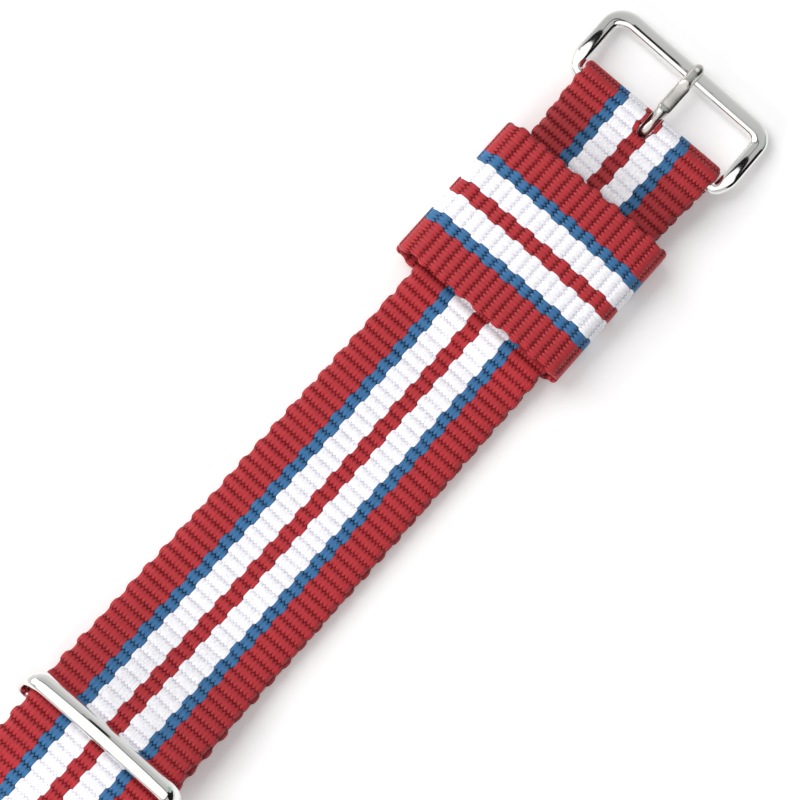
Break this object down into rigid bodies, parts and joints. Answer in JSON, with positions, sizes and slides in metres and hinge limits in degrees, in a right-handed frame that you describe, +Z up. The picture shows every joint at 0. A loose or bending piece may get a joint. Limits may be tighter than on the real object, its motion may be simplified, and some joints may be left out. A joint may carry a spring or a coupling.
{
  "type": "watch strap",
  "caption": "Pull-through watch strap of striped ribbed webbing with a wire buckle and prong, a welded webbing keeper and a metal ring on its short under band.",
  "frame": {"origin": "middle of the whole strap at the level of the surface it lies on", "axes": "+X along the strap towards the buckle, +Z up out of the webbing's outer face"},
  "size_m": [0.27, 0.0252, 0.0079],
  "materials": {
    "webbing": "woven",
    "polished_steel": "polished",
    "satin_steel": "satin"
  },
  "bodies": {
    "strap": {"main_band": "webbing", "under_band": "webbing", "keeper_loop": "webbing"},
    "buckle": {"buckle_frame": "polished_steel"},
    "tongue": {"buckle_tongue": "satin_steel"},
    "ring": {"ring_keeper": "polished_steel"}
  },
  "joints": [
    {"name": "buckle_swing", "type": "hinge", "parent": "strap", "child": "buckle", "pos_m": [0.1242, 0, 0.0024], "axis": [0, -1, 0], "range_deg": [-70, 15]},
    {"name": "tongue_swing", "type": "hinge", "parent": "buckle", "child": "tongue", "pos_m": [0.1242, 0, 0.0024], "axis": [0, -1, 0], "range_deg": [0, 65]},
    {"name": "ring_swing", "type": "hinge", "parent": "strap", "child": "ring", "pos_m": [0.0254, 0, 0.0022], "axis": [0, 1, 0], "range_deg": [-36, 8]}
  ]
}
